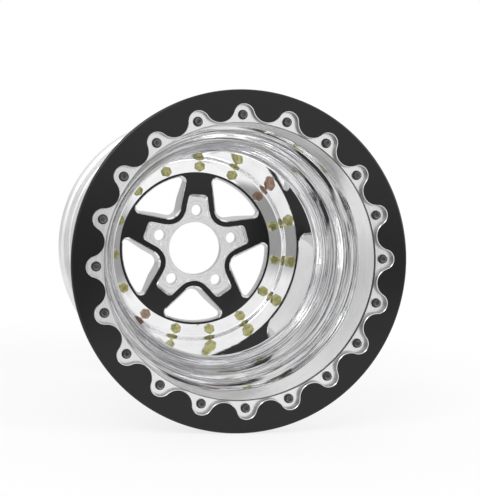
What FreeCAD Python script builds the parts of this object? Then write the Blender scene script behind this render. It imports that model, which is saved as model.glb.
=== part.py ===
import FreeCAD, Part
import math
import os
import Sketcher

# Three-piece beadlock wheel, 15 x 15 inch.
# The wheel's axle lies along Y and the outer face looks towards -Y.
# The origin is the centre of the hub bore on the back of the mounting pad.

# Driving sizes, in millimetres and degrees
SIZES = (
    ("overall_depth", "402.0", "front of the clamp ring to the rear lip"),
    ("backspacing", "50.8", "mounting pad to the rear lip"),
    ("bead_seat_radius", "190.1", "both bead seats"),
    ("wall_thickness", "4.8", "spun rim halves"),
    ("part_clearance", "0.2", "gap round spigots and shanks"),
    ("ring_flange_width", "25.8", "clamp ring, bead seat to outer edge"),
    ("seat_wall", "14.6", "clamp ring and bead seat ring, bead seat to bore"),
    ("ring_flange_thickness", "11.0", "clamp ring over the tyre bead"),
    ("ring_boss_thickness", "14.0", "clamp ring over the bolts"),
    ("ring_edge_radius", "3.0", "outer edges of the clamp ring"),
    ("ring_clock", "-3.25", "turn of the clamp ring against the centre"),
    ("pocket_depth", "8.0", "bolt pockets of the clamp ring"),
    ("pocket_radius", "13.3", "bolt pocket round each bolt, at the face"),
    ("pocket_chamfer", "1.2", "edge of the bolt pockets"),
    ("hump_setback", "1.7", "bore to the inner tips of the raised face"),
    ("clamp_bolt_count", "20", "bolts of the clamp ring"),
    ("clamp_bolt_inset", "5.2", "bead seat to the circle of the clamp bolts"),
    ("clamp_bolt_radius", "3.175", "shank"),
    ("clamp_bolt_length", "19.0", "shank under the head"),
    ("clamp_head_radius", "5.75", "flange of the head"),
    ("clamp_head_flange", "1.6", "height of the flange"),
    ("clamp_head_height", "5.6", "whole head"),
    ("clamp_head_flats", "8.4", "across the flats of the twelve points"),
    ("insert_radius", "3.95", "steel thread insert"),
    ("insert_length", "12.0", "steel thread insert"),
    ("insert_sink", "0.5", "insert below the face"),
    ("insert_hole_spare", "3.0", "hole below the insert"),
    ("seat_ring_depth", "24.0", "bead seat ring"),
    ("bead_stop_height", "12.9", "inner bead stop over the bead seat"),
    ("bead_stop_thickness", "8.0", "inner bead stop"),
    ("bead_stop_fillet", "4.0", "foot of the bead stop"),
    ("land_length", "30.0", "outer half, front land"),
    ("land_fall", "0.5", "outer half, front land"),
    ("shoulder_slope_length", "12.0", "outer half, slope to the shoulder"),
    ("shoulder_slope_fall", "4.0", "outer half, slope to the shoulder"),
    ("shoulder_length", "30.0", "outer half, shoulder"),
    ("shoulder_fall", "2.0", "outer half, shoulder"),
    ("step_slope_length", "11.0", "outer half, slope to the step"),
    ("step_slope_fall", "9.0", "outer half, slope to the step"),
    ("step_length", "37.0", "outer half, step"),
    ("step_fall", "2.0", "outer half, step"),
    ("well_slope_length", "16.0", "outer half, slope to the well"),
    ("well_slope_fall", "13.0", "outer half, slope to the well"),
    ("well_fall", "3.0", "outer half, well"),
    ("step_bend_radius", "9.0", "spun bends, inside of the bend"),
    ("flange_bend_radius", "5.0", "bends of the bolted flanges"),
    ("flange_width", "22.4", "bolted flanges, well to bore"),
    ("valve_hole_radius", "5.75", "valve hole in the middle of the shoulder"),
    ("inner_land_end", "4.0", "inner half, end of the short well"),
    ("inner_seat_front", "21.6", "inner half, front of the bead seat"),
    ("rim_flange_depth", "10.0", "rear rim flange, wall to lip edge"),
    ("rim_flange_height", "18.4", "rear rim flange over the bead seat"),
    ("rim_seat_bend", "4.0", "bend between bead seat and rim flange"),
    ("rim_lip_radius", "2.0", "rounded rear lip edge"),
    ("centre_thickness", "22.7", "face to mounting pad"),
    ("centre_rim_thickness", "8.0", "rim between the bolted flanges"),
    ("centre_rim_inset", "5.5", "well to the edge of the centre's rim"),
    ("pad_radius", "84.0", "mounting pad"),
    ("spoke_back_inset", "7.6", "flange bore to the slope behind the spokes"),
    ("hub_bore_radius", "41.53", "hub bore"),
    ("lug_count", "5", "lugs, spokes and windows"),
    ("lug_circle_radius", "60.325", "lug holes"),
    ("lug_hole_radius", "8.75", "lug holes"),
    ("lug_seat_radius", "14.5", "spot face round each lug hole"),
    ("lug_seat_depth", "0.6", "spot face round each lug hole"),
    ("star_depth", "6.5", "machined star in the face"),
    ("star_leg_end", "84.8", "tip of the star's legs"),
    ("star_end_slope", "5.0", "run of the sloping end of each leg"),
    ("star_side_slope", "1.5", "run of the sloping sides"),
    ("star_corner_radius", "6.5", "corners of the star's legs"),
    ("star_band", "8.0", "land between star and windows"),
    ("window_apex", "58.5", "window's inner end"),
    ("window_apex_radius", "19.6", "window's inner end"),
    ("window_side_angle", "45.0", "window's sides to its middle line"),
    ("window_rim", "3.1", "flange bore to the window's outer edge"),
    ("window_corner_radius", "9.0", "window's outer corners"),
    ("window_side_slope", "5.7", "run of the window's sloping sides"),
    ("window_outer_slope", "1.8", "run of the window's sloping outer wall"),
    ("window_back_corner", "6.0", "window's outer corners at the back"),
    ("joint_bolt_count", "15", "bolts through the centre's rim"),
    ("joint_bolt_inset", "13.3", "well to the circle of the joint bolts"),
    ("joint_bolt_radius", "4.7625", "shank"),
    ("joint_bolt_spare", "2.0", "thread past the nut"),
    ("joint_head_flats", "14.3", "hexagon of head and nut"),
    ("joint_head_height", "5.5", "bolt head"),
    ("joint_nut_height", "8.0", "nut"),
    ("joint_washer_radius", "7.4", "washer under the nut"),
    ("joint_washer_thickness", "1.6", "washer under the nut"),
    ("sealant_cover", "2.5", "bead of sealant over the well"),
    ("sealant_margin", "0.6", "sealant inside the bends"),
    ("repeat_overlap", "3.0", "turn by which repeated cuts run into each other"),
)

# Places along the axle from the mounting pad, and radii, that follow from the driving sizes
FOLLOWING = (
    ("ring_face", "backspacing - overall_depth", "front of the clamp ring"),
    ("pocket_floor", "ring_face + pocket_depth", "floor of the bolt pockets"),
    ("ring_clamp_face", "ring_face + ring_flange_thickness", "clamp ring on the tyre bead"),
    ("ring_back", "ring_face + ring_boss_thickness", "clamp ring on the bead seat ring"),
    ("seat_ring_back", "ring_back + seat_ring_depth", "back of the bead seat ring"),
    ("bead_stop_front", "seat_ring_back - bead_stop_thickness", "inner bead stop"),
    ("land_end", "seat_ring_back + land_length", "end of the front land"),
    ("shoulder_front", "land_end + shoulder_slope_length", "front of the shoulder"),
    ("shoulder_back", "shoulder_front + shoulder_length", "back of the shoulder"),
    ("step_front", "shoulder_back + step_slope_length", "front of the step"),
    ("step_back", "step_front + step_length", "back of the step"),
    ("well_front", "step_back + well_slope_length", "front of the well"),
    ("centre_face", "-centre_thickness", "front of the centre and of the outer half's flange"),
    ("outer_flange_back", "centre_face + wall_thickness", "outer half's flange on the centre's rim"),
    ("inner_flange_front", "outer_flange_back + centre_rim_thickness", "inner half's flange, same"),
    ("inner_flange_back", "inner_flange_front + wall_thickness", "inner half's flange under the washers"),
    ("washer_back", "inner_flange_back + joint_washer_thickness", "washers under the nuts"),
    ("nut_back", "washer_back + joint_nut_height", "back of the nuts"),
    ("rim_flange_face", "backspacing - rim_flange_depth", "rear rim flange towards the tyre"),
    ("ring_outer_radius", "bead_seat_radius + ring_flange_width", "clamp ring"),
    ("ring_bore_radius", "bead_seat_radius - seat_wall", "clamp ring and bead seat ring"),
    ("hump_tip_radius", "ring_bore_radius + hump_setback", "inner tips of the raised face"),
    ("clamp_bolt_circle_radius", "bead_seat_radius - clamp_bolt_inset", "clamp bolts"),
    ("bead_stop_radius", "bead_seat_radius + bead_stop_height", "inner bead stop"),
    ("rim_flange_radius", "bead_seat_radius + rim_flange_height", "rear rim flange"),
    ("land_end_radius", "ring_bore_radius - land_fall", "end of the front land"),
    ("shoulder_front_radius", "land_end_radius - shoulder_slope_fall", "front of the shoulder"),
    ("shoulder_back_radius", "shoulder_front_radius - shoulder_fall", "back of the shoulder"),
    ("step_front_radius", "shoulder_back_radius - step_slope_fall", "front of the step"),
    ("step_back_radius", "step_front_radius - step_fall", "back of the step"),
    ("well_front_radius", "step_back_radius - well_slope_fall", "front of the well"),
    ("well_radius", "well_front_radius - well_fall", "well of both halves, inside"),
    ("flange_bore_radius", "well_radius - flange_width", "bolted flanges"),
    ("joint_bolt_circle_radius", "well_radius - joint_bolt_inset", "joint bolts"),
    ("centre_rim_radius", "well_radius - centre_rim_inset", "centre's rim between the flanges"),
    ("sealant_radius", "well_radius + sealant_cover", "bead of sealant"),
    ("spoke_back_radius", "flange_bore_radius - spoke_back_inset", "foot of the slope behind the spokes"),
    ("window_outer_radius", "flange_bore_radius - window_rim", "window's outer edge"),
)

doc = FreeCAD.newDocument("beadlock_wheel")
sheet = doc.addObject("Spreadsheet::Sheet", "sizes")
formulas = [(alias, "=" + formula, note) for alias, formula, note in FOLLOWING]
for row, (alias, text, note) in enumerate(list(SIZES) + formulas, start=1):
    sheet.set("A%d" % row, note)
    sheet.set("B%d" % row, text)
    sheet.setAlias("B%d" % row, alias)
    doc.recompute()


class SizeNames:
    """Gives the sheet's address of a size, to be used in expressions."""

    def __getattr__(self, alias):
        return "sizes." + alias


size = SizeNames()


def number(expression):
    """The value of an expression on the sheet."""
    result = sheet.evalExpression(expression)
    return float(getattr(result, "Value", result))


# Sketching helpers
def new_body(name):
    body = doc.addObject("PartDesign::Body", name)
    body.Label = name
    body.AllowCompound = True
    return body


def new_sketch(body, role, name, offset=None):
    """A sketch on one of the body's origin planes, moved along its normal."""
    plane = next(item for item in body.Origin.OriginFeatures if item.Role == role)
    sketch = body.newObject("Sketcher::SketchObject", body.Name + "_" + name)
    sketch.AttachmentSupport = [(plane, "")]
    sketch.MapMode = "FlatFace"
    if offset is not None:
        sketch.setExpression("AttachmentOffset.Base.z", offset)
    return sketch


def bind(sketch, constraint, expression):
    """Adds a constraint and ties its value to the sheet."""
    index = sketch.addConstraint(constraint)
    sketch.setExpression("Constraints[%d]" % index, expression)


def pin(sketch, geometry, point, x, y):
    """Ties a point of the sketch to two coordinates."""
    if x == "0":
        sketch.addConstraint(Sketcher.Constraint("PointOnObject", geometry, point, -2))
    else:
        bind(sketch, Sketcher.Constraint("DistanceX", geometry, point, number(x)), x)
    if y == "0":
        sketch.addConstraint(Sketcher.Constraint("PointOnObject", geometry, point, -1))
    else:
        bind(sketch, Sketcher.Constraint("DistanceY", geometry, point, number(y)), y)


def add_polygon(sketch, corners):
    """A closed outline of straight edges, each corner tied to the sheet."""
    points = [FreeCAD.Vector(number(x), number(y), 0) for x, y in corners]
    first = sketch.GeometryCount
    count = len(points)
    for start, end in zip(points, points[1:] + points[:1]):
        sketch.addGeometry(Part.LineSegment(start, end), False)
    for index in range(count):
        following = first + (index + 1) % count
        sketch.addConstraint(Sketcher.Constraint("Coincident", first + index, 2, following, 1))
    for index, (x, y) in enumerate(corners):
        pin(sketch, first + index, 1, x, y)


def add_circle(sketch, x, y, radius):
    """A circle whose centre and radius are tied to the sheet."""
    centre = FreeCAD.Vector(number(x), number(y), 0)
    circle = Part.Circle(centre, FreeCAD.Vector(0, 0, 1), number(radius))
    geometry = sketch.addGeometry(circle, False)
    pin(sketch, geometry, 3, x, y)
    bind(sketch, Sketcher.Constraint("Radius", geometry, number(radius)), radius)


def add_line(sketch, start, end):
    first = FreeCAD.Vector(start[0], start[1], 0)
    second = FreeCAD.Vector(end[0], end[1], 0)
    return sketch.addGeometry(Part.LineSegment(first, second), False)


def add_arc(sketch, centre, start, end):
    """An arc that runs counter-clockwise from start to end."""
    radius = math.dist(centre, start)
    first = math.atan2(start[1] - centre[1], start[0] - centre[0])
    last = math.atan2(end[1] - centre[1], end[0] - centre[0])
    if last < first:
        last += 2 * math.pi
    middle = FreeCAD.Vector(centre[0], centre[1], 0)
    circle = Part.Circle(middle, FreeCAD.Vector(0, 0, 1), radius)
    return sketch.addGeometry(Part.ArcOfCircle(circle, first, last), False)


def join(sketch, kind, first, first_end, second, second_end):
    """Joins two ends, smoothly ("Tangent") or at a corner ("Coincident")."""
    sketch.addConstraint(Sketcher.Constraint(kind, first, first_end, second, second_end))


def mirrored(point):
    return (-point[0], point[1])


# Feature helpers
def revolve(body, sketch, axis="V_Axis"):
    feature = body.newObject("PartDesign::Revolution", body.Name + "_turned")
    feature.Profile = sketch
    feature.ReferenceAxis = (sketch, [axis])
    feature.Angle = 360
    doc.recompute()
    return feature


def pad(body, sketch, name, length, reversed_way=False):
    feature = body.newObject("PartDesign::Pad", body.Name + "_" + name)
    feature.Profile = sketch
    feature.Reversed = reversed_way
    feature.setExpression("Length", length)
    doc.recompute()
    return feature


def cut(body, sketch, name, length):
    """A pocket from the sketch towards the back of the wheel."""
    before = body.Shape.Volume
    feature = body.newObject("PartDesign::Pocket", body.Name + "_" + name)
    feature.Profile = sketch
    feature.setExpression("Length", length)
    doc.recompute()
    if feature.Shape.Volume >= before:
        raise RuntimeError("nothing was cut by " + feature.Name)
    return feature


def cut_loft(body, front, back, name):
    """A cut with sloping walls between two outlines."""
    before = body.Shape.Volume
    feature = body.newObject("PartDesign::SubtractiveLoft", body.Name + "_" + name)
    feature.Profile = front
    feature.Sections = [back]
    feature.Ruled = True
    doc.recompute()
    if feature.Shape.Volume >= before:
        raise RuntimeError("nothing was cut by " + feature.Name)
    return feature


def repeat_round_axle(body, features, count, name="pattern"):
    pattern = body.newObject("PartDesign::PolarPattern", body.Name + "_" + name)
    pattern.Originals = features
    axle = next(item for item in body.Origin.OriginFeatures if item.Role == "Y_Axis")
    pattern.Axis = (axle, [""])
    pattern.Angle = 360
    pattern.setExpression("Occurrences", count)
    body.Tip = pattern
    doc.recompute()
    return pattern


def turned_edges(shape, corners):
    """Names of the round edges that pass through the given profile corners."""
    names = []
    for radius, along in corners:
        for index, edge in enumerate(shape.Edges, start=1):
            if not isinstance(edge.Curve, Part.Circle):
                continue
            near_radius = abs(edge.Curve.Radius - radius) < 0.01
            near_place = abs(edge.Curve.Center.y - along) < 0.01
            if near_radius and near_place:
                names.append("Edge%d" % index)
    return names


def round_corners(body, corners, radius, name):
    """Rounds the turned edges at the given profile corners."""
    base = body.Tip
    places = [(number(x), number(y)) for x, y in corners]
    feature = body.newObject("PartDesign::Fillet", body.Name + "_" + name)
    feature.Base = (base, turned_edges(base.Shape, places))
    feature.setExpression("Radius", radius)
    doc.recompute()
    return feature


def hexagon(centre_height, across_flats, turn):
    """Corners of a hexagon beside the axle, as expressions."""
    corners = []
    for index in range(6):
        angle = turn + 60 * index
        reach = f"{across_flats} / sqrt(3)"
        corners.append((f"{reach} * sin({angle} deg)", f"{centre_height} + {reach} * cos({angle} deg)"))
    return corners


def sheet_strip(path, side):
    """The parallel of a bent sheet's path, one wall away."""
    slopes = []
    for (radius, along, bend), (next_radius, next_along, next_bend) in zip(path, path[1:]):
        slopes.append(f"atan2({next_radius} - {radius}; {next_along} - {along})")
    parallel = []
    for index, (radius, along, bend) in enumerate(path):
        before = slopes[max(index - 1, 0)]
        after = slopes[min(index, len(slopes) - 1)]
        mean = f"({before} + {after}) / 2"
        reach = f"{side} * {size.wall_thickness} / cos(({before} - {after}) / 2)"
        parallel.append((f"{radius} + {reach} * cos({mean})", f"{along} - {reach} * sin({mean})"))
    return parallel


def bend_corners(path, parallel, side, chosen):
    """Sorts the corners that have the chosen bend into its inner and outer side."""
    inner = []
    outer = []
    for index, (radius, along, bend) in enumerate(path):
        if bend != chosen:
            continue
        before = math.atan2(number(radius) - number(path[index - 1][0]),
                            number(along) - number(path[index - 1][1]))
        after = math.atan2(number(path[index + 1][0]) - number(radius),
                           number(path[index + 1][1]) - number(along))
        turns_to_parallel = (after - before) * side > 0
        inner.append(parallel[index] if turns_to_parallel else (radius, along))
        outer.append((radius, along) if turns_to_parallel else parallel[index])
    return inner, outer


def turn_bent_sheet(body, path, parallel, side):
    """Turns a sheet between its path and the parallel, and rounds both sides of its bends."""
    profile = new_sketch(body, "XY_Plane", "profile")
    add_polygon(profile, [(radius, along) for radius, along, bend in path] + parallel[::-1])
    revolve(body, profile)
    bends = sorted({bend for radius, along, bend in path if bend})
    for bend in bends:
        name = bend.split(".")[1]
        inner, outer = bend_corners(path, parallel, side, bend)
        round_corners(body, inner, bend, name + "_inside")
        round_corners(body, outer, f"{bend} + {size.wall_thickness}", name + "_outside")


def turn_with_ring(body):
    turn = FreeCAD.Rotation(FreeCAD.Vector(0, 1, 0), number(size.ring_clock))
    body.Placement = FreeCAD.Placement(FreeCAD.Vector(0, 0, 0), turn)


# Clamp ring: a turned ring with twenty scalloped bolt pockets
def add_scallop(sketch, inset):
    """One bolt pocket at the top of the ring, between two humps of the raised face."""
    half_pitch = f"(180 deg / {size.clamp_bolt_count})"
    bolt = size.clamp_bolt_circle_radius
    tip = size.hump_tip_radius
    lobe = size.pocket_radius
    hump = (f"(({tip} ^ 2 - {lobe} ^ 2 + {bolt} ^ 2 - 2 * {bolt} * {tip} * cos({half_pitch}))"
            f" / (2 * ({bolt} * cos({half_pitch}) - {tip} + {lobe})))")
    hump_x = f"({tip} + {hump}) * sin({half_pitch})"
    hump_y = f"({tip} + {hump}) * cos({half_pitch})"
    lobe_radius = number(f"{lobe} - {inset}")
    hump_radius = number(f"{hump} + {inset}")
    bolt_centre = (0.0, number(bolt))
    hump_centre = (number(hump_x), number(hump_y))
    share = lobe_radius / (lobe_radius + hump_radius)
    meet = (hump_centre[0] * share,
            bolt_centre[1] + (hump_centre[1] - bolt_centre[1]) * share)
    past_tip = f"({half_pitch} - {size.repeat_overlap} * 1 deg)"
    end_x = f"{hump_x} - ({hump} + {inset}) * sin({past_tip})"
    end_y = f"{hump_y} - ({hump} + {inset}) * cos({past_tip})"
    end = (number(end_x), number(end_y))
    inside_x = f"({size.ring_bore_radius} - {size.pocket_radius}) * sin({half_pitch})"
    inside_y = f"({size.ring_bore_radius} - {size.pocket_radius}) * cos({half_pitch})"
    inside = (number(inside_x), number(inside_y))

    lobe_arc = add_arc(sketch, bolt_centre, meet, mirrored(meet))
    right_hump = add_arc(sketch, hump_centre, meet, end)
    left_hump = add_arc(sketch, mirrored(hump_centre), mirrored(end), mirrored(meet))
    right_end = add_line(sketch, end, inside)
    across = add_line(sketch, inside, mirrored(inside))
    left_end = add_line(sketch, mirrored(inside), mirrored(end))
    join(sketch, "Tangent", lobe_arc, 1, right_hump, 1)
    join(sketch, "Tangent", lobe_arc, 2, left_hump, 2)
    join(sketch, "Coincident", right_hump, 2, right_end, 1)
    join(sketch, "Coincident", right_end, 2, across, 1)
    join(sketch, "Coincident", across, 2, left_end, 1)
    join(sketch, "Coincident", left_end, 2, left_hump, 1)
    pin(sketch, lobe_arc, 3, "0", bolt)
    bind(sketch, Sketcher.Constraint("Radius", lobe_arc, lobe_radius), f"{lobe} - {inset}")
    pin(sketch, right_hump, 3, hump_x, hump_y)
    pin(sketch, left_hump, 3, f"-{hump_x}", hump_y)
    bind(sketch, Sketcher.Constraint("DistanceX", right_hump, 2, end[0]), end_x)
    bind(sketch, Sketcher.Constraint("DistanceX", left_hump, 1, -end[0]), f"-({end_x})")
    pin(sketch, across, 1, inside_x, inside_y)
    pin(sketch, across, 2, f"-{inside_x}", inside_y)


beadlock_ring = new_body("beadlock_ring")
profile = new_sketch(beadlock_ring, "XY_Plane", "profile")
add_polygon(profile, (
    (size.ring_bore_radius, size.ring_face),
    (size.ring_outer_radius, size.ring_face),
    (size.ring_outer_radius, size.ring_clamp_face),
    (size.bead_seat_radius, size.ring_clamp_face),
    (size.bead_seat_radius, size.ring_back),
    (size.ring_bore_radius, size.ring_back),
))
revolve(beadlock_ring, profile)
round_corners(beadlock_ring,
              ((size.ring_outer_radius, size.ring_face), (size.ring_outer_radius, size.ring_clamp_face)),
              size.ring_edge_radius, "rounded")
pocket_edge = new_sketch(beadlock_ring, "XZ_Plane", "pocket_edge", f"-{size.ring_face}")
add_scallop(pocket_edge, "0")
pocket_wall = new_sketch(beadlock_ring, "XZ_Plane", "pocket_wall",
                         f"-{size.ring_face} - {size.pocket_chamfer}")
add_scallop(pocket_wall, size.pocket_chamfer)
pocket_bevel = cut_loft(beadlock_ring, pocket_edge, pocket_wall, "pocket_bevel")
pocket = cut(beadlock_ring, pocket_wall, "pocket", f"{size.pocket_depth} - {size.pocket_chamfer}")
bolt_hole = new_sketch(beadlock_ring, "XZ_Plane", "bolt_hole", f"-{size.pocket_floor}")
add_circle(bolt_hole, "0", size.clamp_bolt_circle_radius,
           f"{size.clamp_bolt_radius} + {size.part_clearance}")
bolt_hole = cut(beadlock_ring, bolt_hole, "bolt_hole", size.ring_boss_thickness)
repeat_round_axle(beadlock_ring, [pocket_bevel, pocket, bolt_hole], size.clamp_bolt_count)
turn_with_ring(beadlock_ring)

# Clamp bolts: flanged heads with twelve points, seated on the pocket floors
beadlock_bolts = new_body("beadlock_bolts")
profile = new_sketch(beadlock_bolts, "YZ_Plane", "profile")
bolt_line = size.clamp_bolt_circle_radius
bolt_end = f"{size.pocket_floor} + {size.clamp_bolt_length}"
add_polygon(profile, (
    (f"{size.pocket_floor} - {size.clamp_head_flange}", bolt_line),
    (f"{size.pocket_floor} - {size.clamp_head_flange}", f"{bolt_line} + {size.clamp_head_radius}"),
    (size.pocket_floor, f"{bolt_line} + {size.clamp_head_radius}"),
    (size.pocket_floor, f"{bolt_line} + {size.clamp_bolt_radius}"),
    (bolt_end, f"{bolt_line} + {size.clamp_bolt_radius}"),
    (bolt_end, bolt_line),
))
bolt_axis = add_line(profile, (number(size.pocket_floor), number(bolt_line)),
                     (number(bolt_end), number(bolt_line)))
profile.setConstruction(bolt_axis, True)
pin(profile, bolt_axis, 1, size.pocket_floor, bolt_line)
pin(profile, bolt_axis, 2, bolt_end, bolt_line)
shank = revolve(beadlock_bolts, profile, "Axis0")
points = []
for turn in (0, 30):
    head = new_sketch(beadlock_bolts, "XZ_Plane", "head%d" % turn,
                      f"-{size.pocket_floor} + {size.clamp_head_flange}")
    add_polygon(head, hexagon(bolt_line, size.clamp_head_flats, turn))
    points.append(pad(beadlock_bolts, head, "points%d" % turn,
                      f"{size.clamp_head_height} - {size.clamp_head_flange}"))
repeat_round_axle(beadlock_bolts, [shank] + points, size.clamp_bolt_count)
turn_with_ring(beadlock_bolts)

# Bead seat ring: carries the tyre bead and the clamp bolts' threads
bead_seat_ring = new_body("bead_seat_ring")
profile = new_sketch(bead_seat_ring, "XY_Plane", "profile")
add_polygon(profile, (
    (size.ring_bore_radius, size.ring_back),
    (size.bead_seat_radius, size.ring_back),
    (size.bead_seat_radius, size.bead_stop_front),
    (size.bead_stop_radius, size.bead_stop_front),
    (size.bead_stop_radius, size.seat_ring_back),
    (size.ring_bore_radius, size.seat_ring_back),
))
revolve(bead_seat_ring, profile)
round_corners(bead_seat_ring, ((size.bead_seat_radius, size.bead_stop_front),),
              size.bead_stop_fillet, "foot")
hole = new_sketch(bead_seat_ring, "XZ_Plane", "hole", f"-{size.ring_back}")
add_circle(hole, "0", bolt_line, size.insert_radius)
hole = cut(bead_seat_ring, hole, "hole",
           f"{size.insert_sink} + {size.insert_length} + {size.insert_hole_spare}")
repeat_round_axle(bead_seat_ring, [hole], size.clamp_bolt_count)
turn_with_ring(bead_seat_ring)

# Thread inserts: steel sleeves in the bead seat ring
thread_inserts = new_body("thread_inserts")
profile = new_sketch(thread_inserts, "XZ_Plane", "profile", f"-{size.ring_back} - {size.insert_sink}")
add_circle(profile, "0", bolt_line, size.insert_radius)
add_circle(profile, "0", bolt_line, size.clamp_bolt_radius)
sleeve = pad(thread_inserts, profile, "sleeve", size.insert_length, True)
repeat_round_axle(thread_inserts, [sleeve], size.clamp_bolt_count)
turn_with_ring(thread_inserts)

# Outer rim half: one spun sheet from the bead seat ring down to the bolted flange
joint_bolt_line = size.joint_bolt_circle_radius
joint_hole_radius = f"{size.joint_bolt_radius} + {size.part_clearance}"
outer_rim_half = new_body("outer_rim_half")
path = (
    (size.ring_bore_radius, size.seat_ring_back, None),
    (size.land_end_radius, size.land_end, size.step_bend_radius),
    (size.shoulder_front_radius, size.shoulder_front, size.step_bend_radius),
    (size.shoulder_back_radius, size.shoulder_back, size.step_bend_radius),
    (size.step_front_radius, size.step_front, size.step_bend_radius),
    (size.step_back_radius, size.step_back, size.step_bend_radius),
    (size.well_front_radius, size.well_front, size.step_bend_radius),
    (size.well_radius, size.centre_face, size.flange_bend_radius),
    (size.flange_bore_radius, size.centre_face, None),
)
parallel = sheet_strip(path, 1)
parallel[0] = (f"{size.ring_bore_radius} + {size.wall_thickness}", size.seat_ring_back)
turn_bent_sheet(outer_rim_half, path, parallel, 1)
hole = new_sketch(outer_rim_half, "XZ_Plane", "hole", f"-{size.centre_face}")
add_circle(hole, "0", joint_bolt_line, joint_hole_radius)
hole = cut(outer_rim_half, hole, "hole", size.wall_thickness)
repeat_round_axle(outer_rim_half, [hole], size.joint_bolt_count)
valve = new_sketch(outer_rim_half, "YZ_Plane", "valve")
add_circle(valve, f"({size.shoulder_front} + {size.shoulder_back}) / 2", "0", size.valve_hole_radius)
cut(outer_rim_half, valve, "valve", size.ring_outer_radius)

# Inner rim half: bolted flange, short well, bead seat and rolled rim flange
inner_rim_half = new_body("inner_rim_half")
well_outside = f"({size.well_radius} + {size.wall_thickness})"
path = (
    (size.flange_bore_radius, size.inner_flange_front, None),
    (well_outside, size.inner_flange_front, size.flange_bend_radius),
    (well_outside, size.inner_land_end, size.rim_seat_bend),
    (size.bead_seat_radius, size.inner_seat_front, size.rim_seat_bend),
    (size.bead_seat_radius, size.rim_flange_face, size.rim_seat_bend),
    (size.rim_flange_radius, size.rim_flange_face, size.wall_thickness),
    (size.rim_flange_radius, size.backspacing, None),
)
parallel = sheet_strip(path, -1)
turn_bent_sheet(inner_rim_half, path, parallel, -1)
lip_outside = (size.rim_flange_radius, size.backspacing)
round_corners(inner_rim_half, (lip_outside, parallel[-1]), size.rim_lip_radius, "edge")
hole = new_sketch(inner_rim_half, "XZ_Plane", "hole", f"-{size.inner_flange_front}")
add_circle(hole, "0", joint_bolt_line, joint_hole_radius)
hole = cut(inner_rim_half, hole, "hole", size.wall_thickness)
repeat_round_axle(inner_rim_half, [hole], size.joint_bolt_count)


# Centre: forged disc with five windows and a machined star round the lugs
apex_centre = f"({size.window_apex} + {size.window_apex_radius})"
half_spoke = f"(180 deg / {size.lug_count})"


def add_window(sketch, slope, outer_slope, corner):
    """The window below the hub, with a rounded apex, straight sides and an outer arc."""
    apex_radius = number(f"{size.window_apex_radius} - {slope}")
    outer_radius = number(f"{size.window_outer_radius} - {outer_slope}")
    corner_radius = number(corner)
    angle = math.radians(number(size.window_side_angle))
    along = (math.sin(angle), -math.cos(angle))
    across = (math.cos(angle), math.sin(angle))
    apex = (0.0, -number(apex_centre))
    side_start = (apex[0] + apex_radius * across[0], apex[1] + apex_radius * across[1])
    base = (apex[0] + (apex_radius - corner_radius) * across[0],
            apex[1] + (apex_radius - corner_radius) * across[1])
    middle = base[0] * along[0] + base[1] * along[1]
    reach = outer_radius - corner_radius
    run = -middle + math.sqrt(middle ** 2 - base[0] ** 2 - base[1] ** 2 + reach ** 2)
    corner_centre = (base[0] + run * along[0], base[1] + run * along[1])
    side_end = (corner_centre[0] + corner_radius * across[0],
                corner_centre[1] + corner_radius * across[1])
    arc_start = (corner_centre[0] * outer_radius / reach, corner_centre[1] * outer_radius / reach)

    apex_arc = add_arc(sketch, apex, side_start, mirrored(side_start))
    left_side = add_line(sketch, mirrored(side_start), mirrored(side_end))
    left_corner = add_arc(sketch, mirrored(corner_centre), mirrored(side_end), mirrored(arc_start))
    outer_arc = add_arc(sketch, (0.0, 0.0), mirrored(arc_start), arc_start)
    right_corner = add_arc(sketch, corner_centre, arc_start, side_end)
    right_side = add_line(sketch, side_end, side_start)
    ring = (apex_arc, left_side, left_corner, outer_arc, right_corner, right_side)
    for first, second in zip(ring, ring[1:] + ring[:1]):
        join(sketch, "Tangent", first, 2, second, 1)
    pin(sketch, apex_arc, 3, "0", f"-{apex_centre}")
    bind(sketch, Sketcher.Constraint("Radius", apex_arc, apex_radius),
         f"{size.window_apex_radius} - {slope}")
    sketch.addConstraint(Sketcher.Constraint("Coincident", outer_arc, 3, -1, 1))
    bind(sketch, Sketcher.Constraint("Radius", outer_arc, outer_radius),
         f"{size.window_outer_radius} - {outer_slope}")
    for arc in (left_corner, right_corner):
        bind(sketch, Sketcher.Constraint("Radius", arc, corner_radius), corner)
    bind(sketch, Sketcher.Constraint("Angle", right_side, math.pi / 2 + angle),
         f"90 deg + {size.window_side_angle} * 1 deg")
    bind(sketch, Sketcher.Constraint("Angle", left_side, -math.pi / 2 - angle),
         f"-90 deg - {size.window_side_angle} * 1 deg")


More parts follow.
